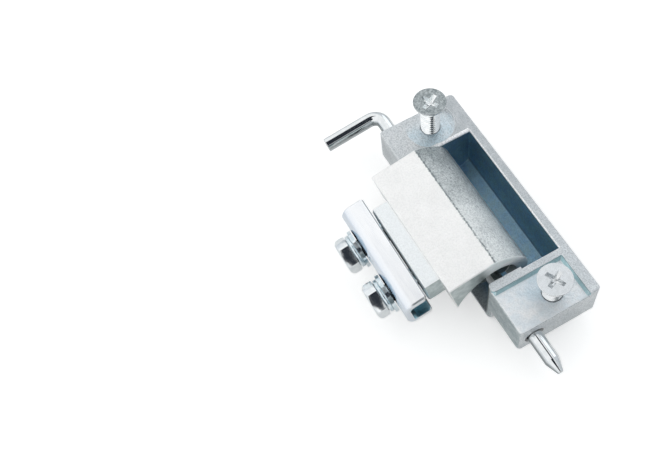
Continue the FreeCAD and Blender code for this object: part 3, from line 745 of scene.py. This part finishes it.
def cast_zinc(name, light, dark, roughness, speckle, stains, rough_zone=None, clean_zone=None,
              faint_edge_zone=None, matt_zone=None):
    """Zinc die-casting: a fine grain, cloudy patches, edges paler from wear and painted
    highlight, and local stains, painted shade and painted highlights.

    A rough zone is a function that gives a mask, the colour of the coarse skin there and how
    coarse it is. A clean zone has few specks, a faint-edge zone has little of the pale edges'
    wear and painted highlight, and a matt zone mirrors nothing.
    """
    material, tree, output = nodes_of(name)
    where = tree.nodes.new("ShaderNodeTexCoord").outputs["Object"]
    grain = noise(tree, where, CAST_GRAIN)
    lump = noise(tree, where, CAST_LUMPS)
    cloud = remap(tree, noise(tree, where, CAST_CLOUDS), CLOUD_SPAN)
    patch = remap(tree, noise(tree, where, CAST_PATCHES), PATCH_SPAN)
    normal, edge = rounded_edges(tree, CAST_EDGE_MM)
    tone = mix_colour(tree, cloud, dark, light)
    normal = add_bump(tree, normal, lump, *LUMP_BUMP)
    normal = add_bump(tree, normal, grain, *GRAIN_BUMP)
    if rough_zone:
        zone, skin, coarse = rough_zone(tree, where)
        pits = noise(tree, where, CAST_PITS)
        tone = mix_colour(tree, zone, tone, skin)
        pitted = product(tree, remap(tree, pits, PIT_SPAN, (PIT_SHARE, 0.0)), zone, coarse)
        tone = mix_colour(tree, pitted, tone, SPECK)
        normal = add_bump(tree, normal, product(tree, pits, zone), *PIT_BUMP)
    tone = add_stains(tree, where, tone, stains, patch)
    specked = product(tree, remap(tree, grain, SPECK_SPAN, (1.0, 0.0)), speckle)
    if clean_zone:
        specked = lessened(tree, specked, clean_zone, where, CLEAN_SHARE)
    tone = mix_colour(tree, specked, tone, SPECK)
    # Paler edges: partly wear, partly painted edge highlight
    worn_and_highlight = product(tree, edge, remap(tree, lump, WORN_HIGHLIGHT_SPAN, (CAST_WORN_HIGHLIGHT_LEAST, 1.0)))
    if faint_edge_zone:
        worn_and_highlight = lessened(tree, worn_and_highlight, faint_edge_zone, where, FAINT_EDGE_SHARE)
    tone = mix_colour(tree, worn_and_highlight, tone, brighter(light, CAST_WORN_HIGHLIGHT_GAIN))
    uneven = remap(tree, lump, WIDE_SPAN,
                   (roughness - CAST_ROUGHNESS_SWING, roughness + CAST_ROUGHNESS_SWING))
    shader = metal_surface(tree, output, tone, normal, uneven, CAST_METAL)
    if matt_zone:
        metal = remap(tree, matt_zone(tree, where), (0.0, 1.0), (CAST_METAL, 0.0))
        tree.links.new(metal, shader.inputs["Metallic"])
    return material


def plated_steel(name, light, dark, roughness, wave=0.25, edge_mm=0.10, stains=(), drawn=1.0):
    """Bright zinc-plated steel: nearly smooth, with faint waves, stains, painted shade, edges
    paled partly by wear and partly as painted highlight, and fine scratches.

    Drawn below 1 stretches the pattern along the pin, as on a strip that came off a coil.
    """
    material, tree, output = nodes_of(name)
    where = tree.nodes.new("ShaderNodeTexCoord").outputs["Object"]
    stretched = vector_step(tree, "MULTIPLY", where, (drawn, 1.0, 1.0))["Vector"]
    stain = noise(tree, stretched, STEEL_STAINS)
    mottle = remap(tree, noise(tree, where, STEEL_MOTTLE), CLOUD_SPAN)
    normal, edge = rounded_edges(tree, edge_mm)
    tone = mix_colour(tree, remap(tree, stain, PATCH_SPAN), dark, light)
    tone = add_stains(tree, where, tone, stains, mottle)
    # Paler edges: partly wear, partly painted edge highlight
    worn_and_highlight = product(tree, edge, STEEL_WORN_HIGHLIGHT_SHARE)
    tone = mix_colour(tree, worn_and_highlight, tone, brighter(light, STEEL_WORN_HIGHLIGHT_GAIN))
    normal = add_bump(tree, normal, noise(tree, stretched, STEEL_WAVES), wave, WAVE_HEIGHT_MM)
    normal = add_bump(tree, normal, noise(tree, where, STEEL_SCRATCHES), *SCRATCH_BUMP)
    uneven = remap(tree, stain, WIDE_SPAN,
                   (roughness + STEEL_ROUGHER, roughness - STEEL_SMOOTHER))
    metal_surface(tree, output, tone, normal, uneven, 1.0)
    return material


def paint(obj, material):
    """Gives an object one material."""
    obj.data.materials.clear()
    obj.data.materials.append(material)


def pocket_inside(tree, where):
    """The walls and floor of the housing's pocket, painted dark blue as painted shade; the
    painted shade fades out at its open side.
    """
    x, y, z = in_mm(tree, where)
    return product(tree, in_box(tree, (x, y, z), POCKET_BOX), above(tree, y, *POCKET_OPEN_Y))


def pocket_far_wall(tree, where):
    """The pocket's long wall opposite its open side, painted shade in a lighter blue than its
    floor.
    """
    return in_box(tree, in_mm(tree, where), FAR_WALL_BOX)


def pocket_mouth(tree, where):
    """Painted highlights along the top edges of the pocket's far wall and of the wall at the
    handle end.
    """
    place = in_mm(tree, where)
    return calc(tree, "MAXIMUM", in_box(tree, place, FAR_EDGE_BOX),
                in_box(tree, place, HANDLE_EDGE_BOX))


def pocket_end_wall(tree, where):
    """The pocket's end wall under the claw, painted dark as painted shade towards its open side.
    """
    x, y, z = in_mm(tree, where)
    return product(tree, in_box(tree, (x, y, z), END_WALL_BOX), below(tree, y, *END_WALL_Y))


def bore_mouth(tree, where):
    """The wide mouth of the pin's bore at the tip end, painted white as painted light against the
    bore's shade.
    """
    x, y, z = in_mm(tree, where)
    return product(tree, in_circle(tree, y, z, BORE_CIRCLE), above(tree, x, *BORE_END_X))


def lower_arm_side(tree, where):
    """The lower end's face on the arm's side, which is mottled."""
    return in_box(tree, in_mm(tree, where), ARM_SIDE_BOX)


def lower_land_inside(tree, where):
    """The recess of the lower land."""
    return in_box(tree, in_mm(tree, where), LOWER_LAND_BOX)


def beside_lower_screw(tree, where):
    """A darker, bluer patch of the lower land round its screw: the screw head's painted shadow.
    """
    x, y, z = in_mm(tree, where)
    return product(tree, in_circle(tree, x, y, LOWER_SCREW_CIRCLE),
                   in_box(tree, (x, y, z), LOWER_LAND_BOX))


def lower_walls(tree, where):
    """The two walls round the lower land, down to the slanted foot of each, painted darker teal
    as painted shade in the recess.
    """
    place = in_mm(tree, where)
    floor = in_box(tree, place, LOWER_FLOOR_BOX)
    return product(tree, in_box(tree, place, LOWER_WALLS_BOX),
                   calc(tree, "SUBTRACT", 1.0, floor))


def rim_top(tree, where):
    """The top of the rim, which is duller towards the handle end."""
    x, y, z = in_mm(tree, where)
    return product(tree, in_box(tree, (x, y, z), RIM_BOX), below(tree, x, *RIM_DULL_X))


def upper_land(tree, where):
    """The upper land, whose top is paler than the long rim's."""
    return in_box(tree, in_mm(tree, where), UPPER_LAND_BOX)


def spot_face_inside(tree, where):
    """The round spot face at the upper screw, which the land's grain hides at its outer half."""
    x, y, z = in_mm(tree, where)
    return product(tree, in_circle(tree, x, y, SPOT_CIRCLE),
                   in_box(tree, (x, y, z), SPOT_FACE_BOX), above(tree, x, *SPOT_SHOWN_X))


def spot_face_wall(tree, where):
    """The low wall round the spot face, where it cuts into the rim, painted white as a painted
    highlight.
    """
    x, y, z = in_mm(tree, where)
    away = distance_to(tree, x, y, SPOT_CENTRE)
    return product(tree, above(tree, away, *SPOT_WALL_INNER),
                   below(tree, away, *SPOT_WALL_OUTER), in_box(tree, (x, y, z), SPOT_WALL_BOX))


def arm_slope(tree, where):
    """The slope behind the arm's crease: darker and coarser at the handle end."""
    along, out, up = on_level_arm(tree, where)
    zone = product(tree, below(tree, out, *SLOPE_OUT), above(tree, up, *SLOPE_UP),
                   below(tree, facing_along(tree), *SLOPE_FACING))
    cloud = remap(tree, noise(tree, where, SLOPE_CLOUDS), WIDE_SPAN, SLOPE_RUN_SWING)
    run = calc(tree, "ADD", remap(tree, along, SLOPE_RUN), cloud)
    skin = mix_colour(tree, remap(tree, run, (0.0, 1.0)), SLOPE_DARK, SLOPE_PALE)
    return zone, skin, remap(tree, run, SLOPE_COARSE_RUN, SLOPE_COARSE)


def arm_ends(tree, where):
    """The arm's and the foot's end faces, mottled and painted darker and greener by the way they
    face: partly the casting's tone, partly painted shade.
    """
    return product(tree, above(tree, facing_along(tree), *END_FACING), END_SHARE)


def claw_rim(tree, where):
    """The claw's end faces, paler than the rest of the arm's ends."""
    return product(tree, below(tree, out_of_arm(tree, where), *CLAW_OUT),
                   above(tree, facing_along(tree), *CLAW_FACING))


def arm_crease_line(tree, where):
    """The dirty crease between the arm's flat top and its slope."""
    _, out, up = on_level_arm(tree, where)
    half = remap(tree, noise(tree, where, CREASE_CRUMBS), PATCH_SPAN, CREASE_HALF)
    away = calc(tree, "SUBTRACT", distance_to(tree, out, up, CREASE_PLACE), half)
    return product(tree, below(tree, away, *CREASE_SIDE), CREASE_SHARE)


def foot_zone(tree, where):
    """The foot, whose plating is a little bluer than the arm's."""
    return above(tree, out_of_arm(tree, where), *FOOT_OUT)


def foot_face(tree, where):
    """The foot's clamping face, painted dark as the shade in the narrow slot for the sheet."""
    return above(tree, out_of_arm(tree, where), *FOOT_FACE_OUT)


def eye_zone(tree, where):
    """The arm's eye and its end hollows, painted dark as painted shade round the pin."""
    _, out, up = on_level_arm(tree, where)
    return product(tree, in_circle(tree, out, up, EYE_CIRCLE), EYE_SHARE)


def channel_inside(tree, where):
    """The inner faces of the channel."""
    return in_box(tree, on_level_arm(tree, where), CHANNEL_BOX)


def channel_edges(tree, where):
    """The channel's edges that clamp the sheet, painted dark as a painted reflection of the dark
    slot.
    """
    return below(tree, out_of_arm(tree, where), *CHANNEL_EDGE_OUT)


def channel_web(tree, where):
    """The channel's bend and outer face, painted a little darker than its flanges as painted
    shade.
    """
    return above(tree, out_of_arm(tree, where), *CHANNEL_WEB_OUT)


def pin_underside(tree, where):
    """The pin's side towards the table, painted darker than its top as painted shade."""
    _, y, z = true_normal(tree)
    return product(tree, below(tree, z, *UNDERSIDE_Z), below(tree, y, *UNDERSIDE_Y))


def upper_head_top(tree, where):
    """The flat of the upper screw's head, painted darker than its recess and thread."""
    return in_box(tree, in_mm(tree, where), UPPER_HEAD_BOX)


def lay_table():
    """The table: white to the camera, but it keeps the hinge's shadow."""
    corners = [(TABLE_HALF * x, TABLE_HALF * y, TABLE_TOP)
               for x, y in ((-1, -1), (1, -1), (1, 1), (-1, 1))]
    mesh = bpy.data.meshes.new("table")
    mesh.from_pydata(corners, [], [(0, 1, 2, 3)])
    table = new_object("table", mesh)
    material, tree, output = nodes_of("table_white")
    diffuse = tree.nodes.new("ShaderNodeBsdfDiffuse")
    diffuse.inputs["Color"].default_value = (*TABLE_COLOUR, 1.0)
    glow = tree.nodes.new("ShaderNodeEmission")
    glow.inputs["Color"].default_value = (*WHITE, 1.0)
    rays = tree.nodes.new("ShaderNodeLightPath").outputs
    seen = calc(tree, "MAXIMUM", rays["Is Camera Ray"], rays["Is Transmission Ray"])
    # Near the hinge the glow fades with the ambient occlusion: painted shade on the table under
    # and round the hinge
    shade = tree.nodes.new("ShaderNodeAmbientOcclusion")
    shade.samples = SHADE_SAMPLES
    shade.inputs["Distance"].default_value = SHADE_REACH
    open_sky = remap(tree, shade.outputs["AO"], SHADE_SPAN)
    white = product(tree, seen, TABLE_GLOW, open_sky)
    mirrored = product(tree, rays["Is Glossy Ray"], TABLE_MIRRORED)
    tree.links.new(calc(tree, "ADD", white, mirrored), glow.inputs["Strength"])
    both = tree.nodes.new("ShaderNodeAddShader")
    tree.links.new(diffuse.outputs["BSDF"], both.inputs[0])
    tree.links.new(glow.outputs["Emission"], both.inputs[1])
    tree.links.new(both.outputs["Shader"], output.inputs["Surface"])
    paint(table, material)


def light_studio():
    """A white tent, brightest on the arm's side and overhead, and a lamp.

    The metal mirrors three dark places of the tent: the opening for the camera, the boom that
    carries it, and a dim room low down behind it.
    """
    world = bpy.data.worlds.new("studio")
    bpy.context.scene.world = world
    world.use_nodes = True
    tree = world.node_tree
    tree.nodes.clear()
    direction = tree.nodes.new("ShaderNodeTexCoord").outputs["Generated"]
    x, y, z = split(tree, direction)
    low = mix_colour(tree, above(tree, y, *TENT_NEAR_Y), TENT_LOW_NEAR, TENT_LOW)
    bright = mix_colour(tree, above(tree, z, *TENT_HIGH_Z), low, TENT_HIGH)
    bright = mix_colour(tree, above(tree, y, *TENT_FAR_Y), bright, TENT_FAR, "MULTIPLY")
    towards = vector_step(tree, "DOT_PRODUCT", direction, OPENING_TOWARDS)["Value"]
    opening = above(tree, towards, *OPENING_COSINE)
    boom = product(tree, between(tree, y, *BOOM_Y), between(tree, x, *BOOM_X),
                   above(tree, z, *BOOM_Z))
    dark = calc(tree, "MAXIMUM", opening, boom)
    bright = mix_colour(tree, dark, bright, OPENING_COLOUR)
    room = product(tree, above(tree, x, *ROOM_X), below(tree, z, *ROOM_Z),
                   between(tree, y, *ROOM_Y))
    bright = mix_colour(tree, room, bright, ROOM_COLOUR)
    rays = tree.nodes.new("ShaderNodeLightPath").outputs
    bright = mix_colour(tree, rays["Is Camera Ray"], bright, WHITE)
    background = tree.nodes.new("ShaderNodeBackground")
    background.inputs["Strength"].default_value = 1.0
    tree.links.new(bright, background.inputs["Color"])
    output = tree.nodes.new("ShaderNodeOutputWorld")
    tree.links.new(background.outputs["Background"], output.inputs["Surface"])
    lamp = bpy.data.lights.new("key", "AREA")
    lamp.shape = "SQUARE"
    lamp.size = KEY_SIZE
    lamp.energy = KEY_WATTS
    key = new_object("key", lamp)
    key.location = KEY_PLACE
    # It faces the hinge
    key.rotation_euler = (-KEY_PLACE).to_track_quat("-Z", "Y").to_euler()


def place_camera():
    """The photograph's camera."""
    lens = bpy.data.cameras.new("camera")
    lens.lens = CAMERA_LENS_MM
    lens.sensor_width = CAMERA_SENSOR_MM
    lens.sensor_fit = "HORIZONTAL"
    lens.shift_x, lens.shift_y = CAMERA_SHIFT
    lens.clip_start = CAMERA_NEAR
    camera = new_object("camera", lens)
    turn = Matrix((CAMERA_RIGHT, CAMERA_UP, CAMERA_BACK)).transposed()
    camera.matrix_world = Matrix.Translation(CAMERA_PLACE) @ turn.to_4x4()
    bpy.context.scene.camera = camera


# Materials: a light and a dark tone, and the stains, painted shade and painted highlights in the
# order in which they are laid
housing_zinc = cast_zinc(
    "housing_zinc", (0.74, 0.77, 0.785), (0.63, 0.665, 0.685), roughness=0.38, speckle=0.42,
    stains=(
        (lower_arm_side, (0.60, 0.66, 0.67), (0.40, 0.48, 0.50)),
        (rim_top, (0.60, 0.62, 0.635), (0.50, 0.53, 0.545)),
        (upper_land, (0.72, 0.74, 0.75), (0.64, 0.67, 0.685)),
        # Painted shade: the pocket's walls and floor, and its far wall in a lighter blue
        (pocket_inside, (0.25, 0.42, 0.58), (0.30, 0.47, 0.55)),
        (pocket_far_wall, (0.28, 0.52, 0.72), (0.33, 0.59, 0.69)),
        # Painted shade on the end wall under the claw
        (pocket_end_wall, (0.10, 0.13, 0.135), (0.16, 0.20, 0.205)),
        (lower_land_inside, (0.86, 0.87, 0.875), (0.75, 0.80, 0.83)),
        # Painted shadow of the lower screw's head
        (beside_lower_screw, (0.70, 0.77, 0.82), (0.60, 0.70, 0.76)),
        # Painted shade on the lower land's walls
        (lower_walls, (0.48, 0.68, 0.72)),
        (spot_face_inside, (0.74, 0.81, 0.85), (0.62, 0.73, 0.79)),
        # Painted highlight on the spot face's wall
        (spot_face_wall, WHITE),
        # Painted highlights on the pocket's mouth
        (pocket_mouth, WHITE),
        # Painted light in the bore's mouth
        (bore_mouth, WHITE),
    ),
    clean_zone=lower_land_inside, faint_edge_zone=pocket_inside)
# The arm's zinc is painted paler than the housing's: painted light for the light its top catches
arm_zinc = cast_zinc(
    "arm_zinc", (0.99, 0.99, 0.98), (0.95, 0.95, 0.94), roughness=0.40, speckle=0.09,
    stains=(
        (foot_zone, (0.93, 0.965, 0.975)),
        # End faces: mottled tone, darkened as painted shade
        (arm_ends, (0.66, 0.74, 0.74), (0.38, 0.47, 0.47)),
        (claw_rim, (0.97, 1.0, 1.0), (0.86, 0.94, 0.94)),
        (arm_crease_line, (0.20, 0.23, 0.24)),
        # Painted shade in the slot for the sheet
        (foot_face, (0.20, 0.22, 0.24)),
        # Painted shade in the arm's eye
        (eye_zone, (0.20, 0.25, 0.26), (0.29, 0.34, 0.35)),
    ),
    rough_zone=arm_slope, matt_zone=claw_rim)
pin_steel = plated_steel(
    "pin_steel", (0.80, 0.82, 0.83), (0.72, 0.75, 0.76), roughness=0.06, wave=0.11, edge_mm=0.05,
    # Painted shade on the pin's side towards the table
    stains=((pin_underside, (0.27, 0.30, 0.31)),))
channel_steel = plated_steel(
    "channel_steel", (0.89, 0.905, 0.92), (0.86, 0.88, 0.905), roughness=0.22, wave=0.03,
    edge_mm=0.3, drawn=0.15,
    stains=(
        # Painted shade on the channel's bend
        (channel_web, (0.74, 0.79, 0.85)),
        (channel_inside, (0.48, 0.73, 0.82)),
        # Painted reflection of the dark slot on the channel's edges
        (channel_edges, (0.24, 0.28, 0.31)),
    ))
# The upper screw's steel is paler than the lower's, so its cross recess shows a painted
# highlight; its head's flat is painted darker
upper_screw_steel_painted_glint = plated_steel(
    "upper_screw_steel_painted_glint", (0.96, 0.98, 0.98), (0.82, 0.85, 0.86), roughness=0.18,
    stains=((upper_head_top, (0.17, 0.195, 0.20), (0.38, 0.41, 0.415)),))
screw_steel = plated_steel(
    "screw_steel", (0.80, 0.82, 0.83), (0.70, 0.72, 0.73), roughness=0.22)
bolt_steel = plated_steel(
    "bolt_steel", (0.88, 0.91, 0.92), (0.76, 0.80, 0.82), roughness=0.12, wave=0.3, edge_mm=0.04)
washer_steel = plated_steel(
    "washer_steel", (0.79, 0.85, 0.88), (0.58, 0.68, 0.73), roughness=0.16, edge_mm=0.05)

for node, material in (
    ("housing", housing_zinc), ("arm", arm_zinc), ("pin", pin_steel),
    ("channel", channel_steel), ("flat_washer_1", washer_steel),
    ("flat_washer_2", washer_steel),
):
    paint(frame["nodes"][node], material)

# Screws, in their holes on the two lands
for node, steel in (("screw_upper", upper_screw_steel_painted_glint), ("screw_lower", screw_steel)):
    low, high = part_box(node)
    top = Vector(((low.x + high.x) / 2, (low.y + high.y) / 2, high.z))
    screw = make_screw(node + "_detail", top)
    paint(screw, steel)
    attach(screw, "housing")
    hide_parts(node)

# Bolts and spring washers, on the arm
for number in ("1", "2"):
    low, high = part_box(f"bolt_{number}")
    along = (low.x + high.x) / 2
    bolt = make_bolt(f"bolt_{number}_detail", along, HEAD_OUT, CLAMP_UP)
    paint(bolt, bolt_steel)
    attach(bolt, "arm")
    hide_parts(f"bolt_{number}")
    spring = make_spring_washer(f"spring_washer_{number}_detail", along, SPRING_OUT, CLAMP_UP)
    paint(spring, washer_steel)
    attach(spring, "arm")
    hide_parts(f"spring_washer_{number}")

lay_table()
light_studio()
place_camera()
bpy.context.scene.view_settings.view_transform = "Standard"
